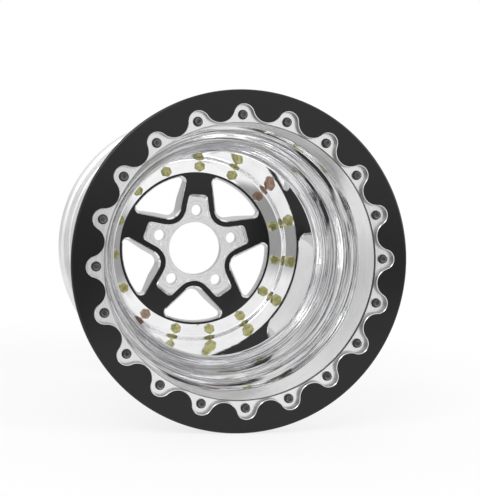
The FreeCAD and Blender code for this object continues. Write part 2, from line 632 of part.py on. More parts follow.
def add_star_leg(sketch, side_slope, end_slope):
    """One leg of the star, with the valleys on both of its sides."""
    spoke = math.radians(number(half_spoke))
    lean = math.radians(number(size.window_side_angle)) - spoke
    valley_text = f"{size.window_apex_radius} + {size.star_band} + {side_slope}"
    valley_radius = number(valley_text)
    corner_radius = number(size.star_corner_radius)
    end_height = number(f"{size.star_leg_end} - {end_slope}")
    valley_x = f"{apex_centre} * sin({half_spoke})"
    valley_y = f"{apex_centre} * cos({half_spoke})"
    valley = (number(valley_x), number(valley_y))
    inwards = (-math.cos(lean), -math.sin(lean))
    outwards = (-math.sin(lean), math.cos(lean))
    side_start = (valley[0] + valley_radius * inwards[0], valley[1] + valley_radius * inwards[1])
    corner_height = end_height - corner_radius
    base = (side_start[0] + corner_radius * inwards[0], side_start[1] + corner_radius * inwards[1])
    run = (corner_height - base[1]) / outwards[1]
    corner = (base[0] + run * outwards[0], corner_height)
    side_end = (corner[0] - corner_radius * inwards[0], corner[1] - corner_radius * inwards[1])
    end_start = (corner[0], end_height)
    past_middle = f"({half_spoke} - {size.repeat_overlap} * 1 deg)"
    seam_x = f"{valley_x} - ({valley_text}) * sin({past_middle})"
    seam_y = f"{valley_y} - ({valley_text}) * cos({past_middle})"
    seam = (number(seam_x), number(seam_y))
    inside_x = f"{size.hub_bore_radius} / 2 * sin({half_spoke})"
    inside_y = f"{size.hub_bore_radius} / 2 * cos({half_spoke})"
    inside = (number(inside_x), number(inside_y))

    right_valley = add_arc(sketch, valley, side_start, seam)
    right_side = add_line(sketch, side_start, side_end)
    right_corner = add_arc(sketch, corner, side_end, end_start)
    end_edge = add_line(sketch, end_start, mirrored(end_start))
    left_corner = add_arc(sketch, mirrored(corner), mirrored(end_start), mirrored(side_end))
    left_side = add_line(sketch, mirrored(side_end), mirrored(side_start))
    left_valley = add_arc(sketch, mirrored(valley), mirrored(seam), mirrored(side_start))
    left_seam = add_line(sketch, mirrored(seam), mirrored(inside))
    across = add_line(sketch, mirrored(inside), inside)
    right_seam = add_line(sketch, inside, seam)
    join(sketch, "Tangent", right_valley, 1, right_side, 1)
    join(sketch, "Tangent", right_side, 2, right_corner, 1)
    join(sketch, "Tangent", right_corner, 2, end_edge, 1)
    join(sketch, "Tangent", end_edge, 2, left_corner, 1)
    join(sketch, "Tangent", left_corner, 2, left_side, 1)
    join(sketch, "Tangent", left_side, 2, left_valley, 2)
    join(sketch, "Coincident", left_valley, 1, left_seam, 1)
    join(sketch, "Coincident", left_seam, 2, across, 1)
    join(sketch, "Coincident", across, 2, right_seam, 1)
    join(sketch, "Coincident", right_seam, 2, right_valley, 2)
    pin(sketch, right_valley, 3, valley_x, valley_y)
    pin(sketch, left_valley, 3, f"-{valley_x}", valley_y)
    for arc in (right_valley, left_valley):
        bind(sketch, Sketcher.Constraint("Radius", arc, valley_radius), valley_text)
    for arc in (right_corner, left_corner):
        bind(sketch, Sketcher.Constraint("Radius", arc, corner_radius), size.star_corner_radius)
    bind(sketch, Sketcher.Constraint("DistanceY", end_edge, 1, end_height),
         f"{size.star_leg_end} - {end_slope}")
    bind(sketch, Sketcher.Constraint("DistanceX", right_valley, 2, seam[0]), seam_x)
    bind(sketch, Sketcher.Constraint("DistanceX", left_valley, 1, -seam[0]), f"-({seam_x})")
    pin(sketch, across, 2, inside_x, inside_y)
    pin(sketch, across, 1, f"-{inside_x}", inside_y)


wheel_center = new_body("wheel_center")
profile = new_sketch(wheel_center, "XY_Plane", "profile")
spigot_radius = f"({size.flange_bore_radius} - {size.part_clearance})"
add_polygon(profile, (
    (size.hub_bore_radius, size.centre_face),
    (spigot_radius, size.centre_face),
    (spigot_radius, size.outer_flange_back),
    (size.centre_rim_radius, size.outer_flange_back),
    (size.centre_rim_radius, size.inner_flange_front),
    (size.spoke_back_radius, size.inner_flange_front),
    (size.pad_radius, "0"),
    (size.hub_bore_radius, "0"),
))
revolve(wheel_center, profile)
window_front = new_sketch(wheel_center, "XZ_Plane", "window_front", f"-{size.centre_face}")
add_window(window_front, "0", "0", size.window_corner_radius)
window_back = new_sketch(wheel_center, "XZ_Plane", "window_back")
add_window(window_back, size.window_side_slope, size.window_outer_slope, size.window_back_corner)
window = cut_loft(wheel_center, window_front, window_back, "window")
star_edge = new_sketch(wheel_center, "XZ_Plane", "star_edge", f"-{size.centre_face}")
add_star_leg(star_edge, "0", "0")
star_floor = new_sketch(wheel_center, "XZ_Plane", "star_floor", f"-{size.centre_face} - {size.star_depth}")
add_star_leg(star_floor, size.star_side_slope, size.star_end_slope)
star = cut_loft(wheel_center, star_edge, star_floor, "star")
lug_seat = new_sketch(wheel_center, "XZ_Plane", "lug_seat", f"-{size.centre_face} - {size.star_depth}")
add_circle(lug_seat, "0", size.lug_circle_radius, size.lug_seat_radius)
lug_seat = cut(wheel_center, lug_seat, "lug_seat", size.lug_seat_depth)
lug_hole = new_sketch(wheel_center, "XZ_Plane", "lug_hole", f"-{size.centre_face}")
add_circle(lug_hole, "0", size.lug_circle_radius, size.lug_hole_radius)
lug_hole = cut(wheel_center, lug_hole, "lug_hole", size.centre_thickness)
repeat_round_axle(wheel_center, [window, star, lug_seat, lug_hole], size.lug_count, "spokes")
hole = new_sketch(wheel_center, "XZ_Plane", "hole", f"-{size.outer_flange_back}")
add_circle(hole, "0", joint_bolt_line, joint_hole_radius)
hole = cut(wheel_center, hole, "hole", size.centre_rim_thickness)
repeat_round_axle(wheel_center, [hole], size.joint_bolt_count, "joint_holes")

# Joint bolts, washers and nuts through the two flanges and the centre's rim
center_bolts = new_body("center_bolts")
head = new_sketch(center_bolts, "XZ_Plane", "head", f"-{size.centre_face}")
add_polygon(head, hexagon(joint_bolt_line, size.joint_head_flats, 0))
head = pad(center_bolts, head, "head_pad", size.joint_head_height)
shank = new_sketch(center_bolts, "XZ_Plane", "shank", f"-{size.centre_face}")
add_circle(shank, "0", joint_bolt_line, size.joint_bolt_radius)
shank = pad(center_bolts, shank, "shank_pad",
            f"{size.nut_back} - {size.centre_face} + {size.joint_bolt_spare}", True)
repeat_round_axle(center_bolts, [head, shank], size.joint_bolt_count)

center_washers = new_body("center_washers")
profile = new_sketch(center_washers, "XZ_Plane", "profile", f"-{size.inner_flange_back}")
add_circle(profile, "0", joint_bolt_line, size.joint_washer_radius)
add_circle(profile, "0", joint_bolt_line, joint_hole_radius)
washer = pad(center_washers, profile, "disc", size.joint_washer_thickness, True)
repeat_round_axle(center_washers, [washer], size.joint_bolt_count)

center_nuts = new_body("center_nuts")
profile = new_sketch(center_nuts, "XZ_Plane", "profile", f"-{size.washer_back}")
add_polygon(profile, hexagon(joint_bolt_line, size.joint_head_flats, 0))
add_circle(profile, "0", joint_bolt_line, size.joint_bolt_radius)
nut = pad(center_nuts, profile, "hexagon", size.joint_nut_height, True)
repeat_round_axle(center_nuts, [nut], size.joint_bolt_count)

# Sealant: fills the groove between the two bends, round the centre's rim
sealant_band = new_body("sealant_band")
profile = new_sketch(sealant_band, "XY_Plane", "profile")
sealant_front = f"{size.centre_face} + {size.sealant_margin}"
sealant_back = f"{size.inner_flange_back} - {size.sealant_margin}"
add_polygon(profile, (
    (size.centre_rim_radius, sealant_front),
    (size.sealant_radius, sealant_front),
    (size.sealant_radius, sealant_back),
    (size.centre_rim_radius, sealant_back),
))
revolve(sealant_band, profile)
both_halves = doc.addObject("Part::Fuse", "both_halves")
both_halves.Base = outer_rim_half
both_halves.Tool = inner_rim_half
joint_sealant = doc.addObject("Part::Cut", "joint_sealant")
joint_sealant.Label = "joint_sealant"
joint_sealant.Base = sealant_band
joint_sealant.Tool = both_halves
doc.recompute()

# Every piece is checked before any file is written
pieces = (beadlock_ring, beadlock_bolts, bead_seat_ring, thread_inserts, outer_rim_half,
          inner_rim_half, wheel_center, center_bolts, center_washers, center_nuts, joint_sealant)
for item in doc.Objects:
    if "Invalid" in item.State or "Error" in item.State:
        raise RuntimeError("failed feature: " + item.Name)
for piece in pieces:
    if piece.Shape.isNull() or not piece.Shape.isValid():
        raise RuntimeError("bad shape: " + piece.Label)

os.makedirs("parts", exist_ok=True)
for piece in pieces:
    piece.Shape.exportStep("parts/" + piece.Label + ".step")
    print(piece.Label, len(piece.Shape.Solids), "solids", round(piece.Shape.Volume / 1000.0, 2), "cm3")
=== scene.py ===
import math
import bmesh
import bpy
from mathutils import Matrix, Vector


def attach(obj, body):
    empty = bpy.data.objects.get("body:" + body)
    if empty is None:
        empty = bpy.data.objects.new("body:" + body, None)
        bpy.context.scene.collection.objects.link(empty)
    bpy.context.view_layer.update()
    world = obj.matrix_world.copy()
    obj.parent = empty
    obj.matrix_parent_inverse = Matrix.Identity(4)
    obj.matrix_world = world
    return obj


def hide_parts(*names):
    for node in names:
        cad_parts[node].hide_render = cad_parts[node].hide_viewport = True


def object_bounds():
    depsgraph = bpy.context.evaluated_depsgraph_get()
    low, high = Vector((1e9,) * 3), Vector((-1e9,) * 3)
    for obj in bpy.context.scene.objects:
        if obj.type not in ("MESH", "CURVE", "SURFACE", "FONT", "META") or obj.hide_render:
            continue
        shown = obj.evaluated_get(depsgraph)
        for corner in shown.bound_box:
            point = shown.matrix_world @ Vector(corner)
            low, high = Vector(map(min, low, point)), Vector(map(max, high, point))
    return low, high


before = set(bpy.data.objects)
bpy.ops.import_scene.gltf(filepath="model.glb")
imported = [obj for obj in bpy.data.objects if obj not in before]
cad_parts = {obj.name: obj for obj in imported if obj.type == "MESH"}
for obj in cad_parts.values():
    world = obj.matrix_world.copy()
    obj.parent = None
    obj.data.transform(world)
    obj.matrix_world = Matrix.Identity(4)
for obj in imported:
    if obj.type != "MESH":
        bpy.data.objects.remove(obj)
cad_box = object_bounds()

# Places along the axle, in metres from the mounting pad; the outer face looks towards -Y
MM = 0.001
WALL = 4.8 * MM
OVERALL_DEPTH = 402.0 * MM
BACKSPACING = 50.8 * MM
RING_FACE = BACKSPACING - OVERALL_DEPTH
POCKET_FLOOR = RING_FACE + 8.0 * MM
RING_CLAMP_FACE = RING_FACE + 11.0 * MM
RING_BACK = RING_FACE + 14.0 * MM
SEAT_RING_BACK = RING_BACK + 24.0 * MM
BEAD_STOP_FRONT = SEAT_RING_BACK - 8.0 * MM
LAND_END = SEAT_RING_BACK + 30.0 * MM
SHOULDER_FRONT = LAND_END + 12.0 * MM
SHOULDER_BACK = SHOULDER_FRONT + 30.0 * MM
STEP_FRONT = SHOULDER_BACK + 11.0 * MM
STEP_BACK = STEP_FRONT + 37.0 * MM
WELL_FRONT = STEP_BACK + 16.0 * MM
CENTRE_FACE = -22.7 * MM
STAR_FLOOR = CENTRE_FACE + 6.5 * MM
OUTER_FLANGE_BACK = CENTRE_FACE + WALL
INNER_FLANGE_FRONT = OUTER_FLANGE_BACK + 8.0 * MM
INNER_FLANGE_BACK = INNER_FLANGE_FRONT + WALL
WASHER_BACK = INNER_FLANGE_BACK + 1.6 * MM
NUT_BACK = WASHER_BACK + 8.0 * MM
INNER_LAND_END = 4.0 * MM
INNER_SEAT_FRONT = 21.6 * MM
RIM_FLANGE_FACE = BACKSPACING - 10.0 * MM

# Radii of the turned pieces
BEAD_SEAT = 190.1 * MM
RING_RADIUS = BEAD_SEAT + 25.8 * MM
RING_BORE = BEAD_SEAT - 14.6 * MM
BEAD_STOP = BEAD_SEAT + 12.9 * MM
RIM_FLANGE = BEAD_SEAT + 18.4 * MM
LAND_END_RADIUS = RING_BORE - 0.5 * MM
SHOULDER_FRONT_RADIUS = LAND_END_RADIUS - 4.0 * MM
SHOULDER_BACK_RADIUS = SHOULDER_FRONT_RADIUS - 2.0 * MM
STEP_FRONT_RADIUS = SHOULDER_BACK_RADIUS - 9.0 * MM
STEP_BACK_RADIUS = STEP_FRONT_RADIUS - 2.0 * MM
WELL_FRONT_RADIUS = STEP_BACK_RADIUS - 13.0 * MM
WELL_RADIUS = WELL_FRONT_RADIUS - 3.0 * MM
FLANGE_BORE = WELL_RADIUS - 22.4 * MM
CENTRE_RIM = WELL_RADIUS - 5.5 * MM

# Bends, edges, bolts and holes
STEP_BEND = 9.0 * MM
FLANGE_BEND = 5.0 * MM
SEAT_BEND = 4.0 * MM
LIP_EDGE = 2.0 * MM
RING_EDGE = 3.0 * MM
JOINT_EDGE = 0.3 * MM
POCKET_CHAMFER = 0.7 * MM
POCKET_LOBE = 13.3 * MM
HUMP_TIP = RING_BORE + 1.7 * MM
CLAMP_BOLTS = 20
CLAMP_BOLT_CIRCLE = BEAD_SEAT - 5.2 * MM
CLAMP_CLOCK = math.radians(-3.25)
CLAMP_FLANGE = 6.3 * MM
CLAMP_HEAD_HEIGHT = 5.6 * MM
JOINT_BOLTS = 15
JOINT_BOLT_CIRCLE = WELL_RADIUS - 13.3 * MM
JOINT_BOLT = 4.7625 * MM
JOINT_HEXAGON = 14.3 * MM
JOINT_HEAD_TOP = CENTRE_FACE - 5.5 * MM
JOINT_WASHER = 7.4 * MM
VALVE_HOLE = 5.75 * MM
HUB_BORE = 41.53 * MM
LUG_HOLES = 5
LUG_CIRCLE = 60.325 * MM
LUG_SPOT_FACE = 14.5 * MM
WINDOW_CHAMFER = 1.2 * MM

# The photograph's viewpoint, with its directions before the roll and its lens in millimetres
CAMERA_ROLL = Matrix.Rotation(math.radians(-2.0), 3, "Y")
CAMERA_PLACE = CAMERA_ROLL @ Vector((-296.4, -1562.3, 85.05)) * MM
CAMERA_RIGHT = Vector((0.97278, -0.231405, 0.012654))
CAMERA_UP = Vector((0.0, 0.0546, 0.99851))
CAMERA_LENS = 72.58

# How finely round things are divided, and when points count as one
SMOOTH_STEPS = 288
BEND_STEPS = 8
WASHER_STEPS = 48
COLLAR_STEPS = 40
SHANK_STEPS = 32
SAME_PLACE = 0.001 * MM

# The axle; the normal of an upright wall leans along it by less than UPRIGHT
AXLE = Vector((0.0, 1.0, 0.0))
ORIGIN = Vector((0.0, 0.0, 0.0))
UPRIGHT = 0.3

# Spans that noise mostly keeps to, and how often light may be thrown on
NOISE_SPAN = (0.3, 0.7)
HAZE_SPAN = (0.35, 0.65)
LIGHT_BOUNCES = 24


# Shader writing
class Value:
    """A shader socket that takes part in plain arithmetic."""

    def __init__(self, nodes, socket):
        self.nodes = nodes
        self.socket = socket

    def __add__(self, other):
        return self.nodes.maths("ADD", self, other)

    def __sub__(self, other):
        return self.nodes.maths("SUBTRACT", self, other)

    def __rsub__(self, other):
        return self.nodes.maths("SUBTRACT", other, self)

    def __mul__(self, other):
        return self.nodes.maths("MULTIPLY", self, other)

    def __truediv__(self, other):
        return self.nodes.maths("DIVIDE", self, other)

    def __rtruediv__(self, other):
        return self.nodes.maths("DIVIDE", other, self)

    def __abs__(self):
        return self.nodes.maths("ABSOLUTE", self)

    __radd__ = __add__
    __rmul__ = __mul__


class Nodes:
    """A node tree, written as nested calls."""

    def __init__(self, tree):
        self.tree = tree

    def node(self, kind, settings, inputs, output=0):
        made = self.tree.nodes.new(kind)
        for setting, value in settings.items():
            setattr(made, setting, value)
        for socket, value in inputs.items():
            self.feed(made.inputs[socket], value)
        return Value(self, made.outputs[output])

    def feed(self, socket, value):
        if isinstance(value, Value):
            self.tree.links.new(value.socket, socket)
        elif socket.type == "RGBA":
            socket.default_value = (*value, 1.0)
        else:
            socket.default_value = value

    def maths(self, operation, *values):
        return self.node("ShaderNodeMath", {"operation": operation}, dict(enumerate(values)))

    def between(self, value, span, results, course="LINEAR"):
        """Runs from the first result to the last as the value runs over the span."""
        low, high = span
        first, last = results
        inputs = {"Value": value, "From Min": low, "From Max": high, "To Min": first, "To Max": last}
        return self.node("ShaderNodeMapRange", {"interpolation_type": course}, inputs, "Result")

    def parts(self, vector, axes="XYZ"):
        return [self.node("ShaderNodeSeparateXYZ", {}, {0: vector}, axis) for axis in axes]

    def length(self, first, second):
        return self.maths("SQRT", first * first + second * second)

    def ray(self, kind):
        """One for rays of this kind and none for the others."""
        return self.node("ShaderNodeLightPath", {}, {}, f"Is {kind} Ray")

    def seen_or_mirrored(self):
        """One for rays from the camera, from mirrors and through glass, and none for soft light."""
        mirrored_or_through = self.maths("MAXIMUM", self.ray("Glossy"), self.ray("Transmission"))
        return self.maths("MAXIMUM", self.ray("Camera"), mirrored_or_through)


class Shade(Nodes):
    """A material: patterns in the wheel's own coordinates, fed to one surface shader."""

    def __init__(self, name):
        self.material = bpy.data.materials.new(name)
        self.material.use_nodes = True
        super().__init__(self.material.node_tree)
        self.surface = self.tree.nodes["Principled BSDF"]
        self.place = self.node("ShaderNodeTexCoord", {}, {}, "Object")

    def finish(self, **inputs):
        for socket, value in inputs.items():
            self.feed(self.surface.inputs[socket.replace("_", " ")], value)
        return self.material

    def radius(self):
        """The distance from the axle."""
        return self.length(*self.parts(self.place, "XZ"))

    def noise(self, vector, scale, detail, roughness=0.5):
        inputs = {"Vector": vector, "Scale": scale, "Detail": detail, "Roughness": roughness}
        return self.node("ShaderNodeTexNoise", {}, inputs, "Fac")

    def lathe_noise(self, turn_scale, profile_scale, detail=1.0, roughness=0.5):
        """Noise that varies slowly round the wheel and fast along its turned profile."""
        x, y, z = self.parts(self.place)
        radius = self.radius()
        inputs = {0: x / radius * turn_scale, 1: (y - radius) * profile_scale, 2: z / radius * turn_scale}
        lathe_place = self.node("ShaderNodeCombineXYZ", {}, inputs)
        return self.noise(lathe_place, 1.0, detail, roughness)

    def haze(self):
        """The broad, faint haze that handling leaves on bare metal."""
        return self.noise(self.place, scale=20.0, detail=4.0, roughness=0.6)

    def blend(self, value, span, first, last):
        """Blends two colours as the value runs over the span."""
        share = self.between(value, span, (0.0, 1.0))
        # The mix node has a socket for each kind of data; these are the ones for colours
        first_socket, last_socket, result_socket = 6, 7, 2
        inputs = {0: share, first_socket: first, last_socket: last}
        return self.node("ShaderNodeMix", {"data_type": "RGBA"}, inputs, result_socket)

    def bump(self, height, strength, distance):
        inputs = {"Height": height, "Strength": strength, "Distance": distance}
        return self.node("ShaderNodeBump", {}, inputs, "Normal")


def grey(level):
    return (level, level, level)


def cool(level):
    """A grey with a trace of blue."""
    trace = 0.01
    return (level, level, level + trace)


def polished_aluminium():
    """Mirror polish on spun sheet, wavy from the spinning roller on the steps in front of the well."""
    shade = Shade("polished_aluminium")
    smooth_to = WELL_FRONT_RADIUS + 1.0 * MM
    worked_from = WELL_FRONT_RADIUS + 5.0 * MM
    faint = 0.12
    worked = shade.between(shade.radius(), (smooth_to, worked_from), (faint, 1.0))
    rings = shade.lathe_noise(turn_scale=0.6, profile_scale=130.0)
    lines = shade.lathe_noise(turn_scale=0.8, profile_scale=380.0)
    waves = shade.lathe_noise(turn_scale=3.0, profile_scale=45.0)
    haze = shade.haze()
    painted_streak_span = (-0.65, -0.57)
    colour = shade.blend(haze, HAZE_SPAN, cool(0.85), grey(0.94))
    # Thin dark lines painted into the colour on the worked steps: a painted reflection, standing in for
    # the dark streaks that the rippled mirror throws back
    colour = shade.blend(lines - worked, painted_streak_span, cool(0.30), colour)
    roughness = shade.between(haze, (0.35, 0.75), (0.015, 0.05))
    line_share = 0.4
    relief = (rings + lines * line_share + waves) * worked
    return shade.finish(Base_Color=colour, Roughness=roughness, Metallic=1.0,
                        Normal=shade.bump(relief, strength=1.0, distance=0.2 * MM))


def turned_metal(name, dark, light, smooth, rough, metallic=1.0):
    """Bare aluminium with fine tool lines that run round the wheel."""
    shade = Shade(name)
    lines = shade.lathe_noise(turn_scale=3.0, profile_scale=400.0, detail=3.0, roughness=0.7)
    haze = shade.haze()
    line_share = 0.6
    haze_share = 0.4
    colour = shade.blend(lines * line_share + haze * haze_share, HAZE_SPAN, dark, light)
    smears = shade.between(haze, (0.45, 0.75), (0.0, 0.03))
    roughness = shade.between(lines, NOISE_SPAN, (smooth, rough)) + smears
    return shade.finish(Base_Color=colour, Roughness=roughness, Metallic=metallic,
                        Normal=shade.bump(lines, strength=0.5, distance=0.02 * MM))


def black_anodising(name, dark, light, gloss):
    """Satin black anodising, with the faint grain of the blasted metal under it."""
    shade = Shade(name)
    grain = shade.noise(shade.place, scale=2600.0, detail=2.0, roughness=0.6)
    cloud = shade.noise(shade.place, scale=9.0, detail=3.0)
    colour = shade.blend(cloud, NOISE_SPAN, dark, light)
    roughness = shade.between(grain, NOISE_SPAN, (0.12, 0.20))
    return shade.finish(Base_Color=colour, Roughness=roughness, Specular_IOR_Level=gloss,
                        Normal=shade.bump(grain, strength=0.3, distance=0.02 * MM))


def yellow_zinc(name, dark, light, bloom):
    """Passivated zinc: an olive or reddish gold with darker patches and a pale bloom."""
    shade = Shade(name)
    patches = shade.noise(shade.place, scale=190.0, detail=4.0, roughness=0.65)
    fine = shade.noise(shade.place, scale=900.0, detail=3.0, roughness=0.6)
    colour = shade.blend(patches, (0.36, 0.6), dark, light)
    colour = shade.blend(fine, (0.55, 0.75), colour, bloom)
    roughness = shade.between(fine, NOISE_SPAN, (0.10, 0.22))
    return shade.finish(Base_Color=colour, Roughness=roughness, Metallic=1.0,
                        Normal=shade.bump(fine, strength=0.4, distance=0.03 * MM))


def patchy_metal(name, dark, light, metallic):
    """Plain fastener metal, lighter where it is worn."""
    shade = Shade(name)
    patches = shade.noise(shade.place, scale=260.0, detail=4.0, roughness=0.6)
    colour = shade.blend(patches, (0.35, 0.7), dark, light)
    roughness = shade.between(patches, NOISE_SPAN, (0.26, 0.42))
    return shade.finish(Base_Color=colour, Roughness=roughness, Metallic=metallic)


def cured_sealant():
    """Grey cured sealant, smoothed by hand."""
    shade = Shade("cured_sealant")
    waves = shade.noise(shade.place, scale=70.0, detail=3.0)
    colour = shade.blend(waves, NOISE_SPAN, (0.40, 0.40, 0.39), (0.54, 0.54, 0.53))
    roughness = shade.between(waves, NOISE_SPAN, (0.42, 0.6))
    return shade.finish(Base_Color=colour, Roughness=roughness,
                        Normal=shade.bump(waves, strength=0.5, distance=0.5 * MM))


POLISHED = polished_aluminium()
AS_SPUN = turned_metal("spun_aluminium", cool(0.74), grey(0.86), smooth=0.26, rough=0.42)
BRIGHT_CUT = turned_metal("bright_cut_aluminium", cool(0.86), grey(0.92), smooth=0.16, rough=0.30)
SATIN_CUT = turned_metal("satin_aluminium", cool(0.88), grey(0.98), smooth=0.10, rough=0.22, metallic=0.55)
FLOOR_CUT = turned_metal("pocket_floor_cut", cool(0.76), grey(0.88), smooth=0.16, rough=0.30)
# A darker copy of the bright cut for the walls that go through the centre: painted shade
SHADED_WALL_CUT = turned_metal("painted_shade_wall_aluminium", cool(0.52), grey(0.66), smooth=0.26, rough=0.40)
# A much darker copy of the cut metal for the pocket walls: painted shade
SHADED_POCKET_WALL = turned_metal("painted_shade_pocket_wall", cool(0.22), grey(0.34), smooth=0.30, rough=0.44)
RING_BLACK = black_anodising("ring_black", (0.002, 0.002, 0.0021), (0.004, 0.004, 0.0041), gloss=0.4)
CENTRE_BLACK = black_anodising("centre_black", grey(0.002), grey(0.004), gloss=0.45)
GOLD_ZINC = yellow_zinc("olive_zinc", (0.24, 0.235, 0.09), (0.50, 0.48, 0.22), (0.70, 0.66, 0.42))
RED_ZINC = yellow_zinc("reddish_zinc", (0.24, 0.15, 0.11), (0.42, 0.29, 0.22), (0.56, 0.45, 0.36))
BLACK_OXIDE = patchy_metal("black_oxide", (0.025, 0.025, 0.026), grey(0.085), metallic=0.6)
# A lighter copy of the black oxide for the slopes of the bolt-head dishes: a painted highlight
SHEEN_DISH_OXIDE = patchy_metal("painted_sheen_dish_oxide", grey(0.07), grey(0.18), metallic=0.8)
STEEL = patchy_metal("plain_steel", cool(0.46), grey(0.62), metallic=1.0)
SEALANT = cured_sealant()


# Modelling helpers
def add_object(name, data):
    added = bpy.data.objects.new(name, data)
    bpy.context.scene.collection.objects.link(added)
    return added


def add_mesh(name, made, materials):
    """Turns a finished bmesh into an object of the scene."""
    mesh = bpy.data.meshes.new(name)
    made.to_mesh(mesh)
    made.free()
    for material in materials:
        mesh.materials.append(material)
    return add_object(name, mesh)


def new_piece(name, made, materials, replaced, sharp_angle=32.0):
    """Turns a finished bmesh into a piece of the wheel that stands for a CAD node."""
    limit = math.radians(sharp_angle)
    for face in made.faces:
        face.smooth = True
    for edge in made.edges:
        edge.smooth = edge.calc_face_angle(0.0) < limit
    piece = add_mesh(name, made, materials)
    even = piece.modifiers.new("even_shading", "WEIGHTED_NORMAL")
    even.keep_sharp = True
    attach(piece, "root")
    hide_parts(replaced)


def each_once(items):
    """The items without repeats, in the order in which they come."""
    return list(dict.fromkeys(items))


def at_clock(radius, place, clock):
    """A point of the wheel; the clock angle runs clockwise from the top, seen from outside."""
    return Vector((radius * math.sin(clock), place, radius * math.cos(clock)))


def turn_round_axle(made, steps=SMOOTH_STEPS):
    """Turns a profile once round the axle."""
    bmesh.ops.spin(made, geom=made.verts[:] + made.edges[:], cent=ORIGIN, axis=AXLE, dvec=ORIGIN,
                   angle=2.0 * math.pi, steps=steps, use_merge=True)
    bmesh.ops.recalc_face_normals(made, faces=made.faces[:])


def repeat_round_axle(made, count, clock=0.0):
    """Copies what is drawn at the top of the wheel to all its places."""
    drawn = made.verts[:] + made.edges[:] + made.faces[:]
    bmesh.ops.rotate(made, verts=made.verts[:], matrix=Matrix.Rotation(clock, 3, "Y"))
    for index in range(1, count):
        copied = bmesh.ops.duplicate(made, geom=drawn)["geom"]
        moved = [item for item in copied if isinstance(item, bmesh.types.BMVert)]
        turn = Matrix.Rotation(2.0 * math.pi * index / count, 3, "Y")
        bmesh.ops.rotate(made, verts=moved, matrix=turn)


def draw_profile(corners):
    """A closed wire through (radius, place, bend radius) corners, with its bends rounded."""
    made = bmesh.new()
    drawn = [made.verts.new((radius, place, 0.0)) for radius, place, _ in corners]
    for first, second in zip(drawn, drawn[1:] + drawn[:1]):
        made.edges.new((first, second))
    offsets = []
    for index, (_, _, bend) in enumerate(corners):
        before = drawn[index - 1].co - drawn[index].co
        after = drawn[(index + 1) % len(drawn)].co - drawn[index].co
        offsets.append(bend / math.tan(before.angle(after) / 2.0))
    for vertex, offset in zip(drawn, offsets):
        if offset > 0.0:
            bmesh.ops.bevel(made, geom=[vertex], offset=offset, offset_type="OFFSET", affect="VERTICES",
                            segments=BEND_STEPS, profile=0.5, material=-1)
    return made


def sheet_profile(path, side):
    """Both sides of a bent sheet along (radius, place, bend) corners, one wall apart.

    The bend is the radius on the inner side of the bend. The sheet lies on the left of
    the path for side 1 and on its right for side -1.
    """
    slopes = []
    for before, after in zip(path, path[1:]):
        slopes.append(math.atan2(after[0] - before[0], after[1] - before[1]))
    near = []
    far = []
    for index, (radius, place, bend) in enumerate(path):
        first = slopes[max(index - 1, 0)]
        last = slopes[min(index, len(slopes) - 1)]
        mean = (first + last) / 2.0
        reach = side * WALL / math.cos((first - last) / 2.0)
        far_is_inside = (last - first) * side > 0.0
        wider = bend + WALL if bend else 0.0
        near.append((radius, place, wider if far_is_inside else bend))
        far.append((radius + reach * math.cos(mean), place - reach * math.sin(mean),
                    bend if far_is_inside else wider))
    return near + far[::-1]


def dull_tyre_side(made):
    """The side of a rim half that the tyre covers keeps its spun finish."""
    looks_forward = -0.5
    for face in made.faces:
        middle = face.calc_center_median()
        outwards = Vector((middle.x, 0.0, middle.z)).normalized()
        rim_flange_front = face.normal.y < looks_forward and middle.y > 0.0
        face.material_index = 1 if rim_flange_front or face.normal.dot(outwards) > 0.0 else 0


# Outer rim half: spun sheet with a polished inside and a satin land at its mouth
def open_valve_hole(made):
    """Opens a round hole through the middle of the shoulder, on the -X side.

    A four-sided opening is cut first, and its border has as many edges as the hole's circles.
    """
    steps_each_way = 4
    edges_each_side = 2 * steps_each_way
    middle = (SHOULDER_FRONT + SHOULDER_BACK) / 2.0
    middle_radius = (SHOULDER_FRONT_RADIUS + SHOULDER_BACK_RADIUS) / 2.0
    taper = (SHOULDER_BACK_RADIUS - SHOULDER_FRONT_RADIUS) / (SHOULDER_BACK - SHOULDER_FRONT)
    reach = steps_each_way * 2.0 * math.pi / SMOOTH_STEPS
    removed = []
    for face in made.faces:
        centre = face.calc_center_median()
        if abs(math.atan2(centre.z, -centre.x)) < reach and abs(centre.y - middle) < VALVE_HOLE:
            removed.append(face)
    bmesh.ops.delete(made, geom=removed, context="FACES")
    sides = [edge for edge in made.edges if edge.is_boundary and edge.calc_length() > 2.0 * VALVE_HOLE]
    bmesh.ops.subdivide_edges(made, edges=sides, cuts=edges_each_side - 1)
    borders = [edge for edge in made.edges if edge.is_boundary]
    rings = []
    for depth in (0.0, WALL):
        circle = bmesh.ops.create_circle(made, segments=4 * edges_each_side, radius=VALVE_HOLE)["verts"]
        for vertex in circle:
            along, height = vertex.co.xy
            radius = middle_radius + depth + taper * along
            vertex.co = (-math.sqrt(radius ** 2 - height ** 2), middle + along, height)
        ring = each_once(edge for vertex in circle for edge in vertex.link_edges)
        border = [edge for edge in borders
                  if abs(edge.verts[0].co.xz.length - middle_radius - depth) < WALL / 2.0]
        bmesh.ops.bridge_loops(made, edges=ring + border)
        rings += ring
    bmesh.ops.bridge_loops(made, edges=rings)
    bmesh.ops.recalc_face_normals(made, faces=made.faces[:])


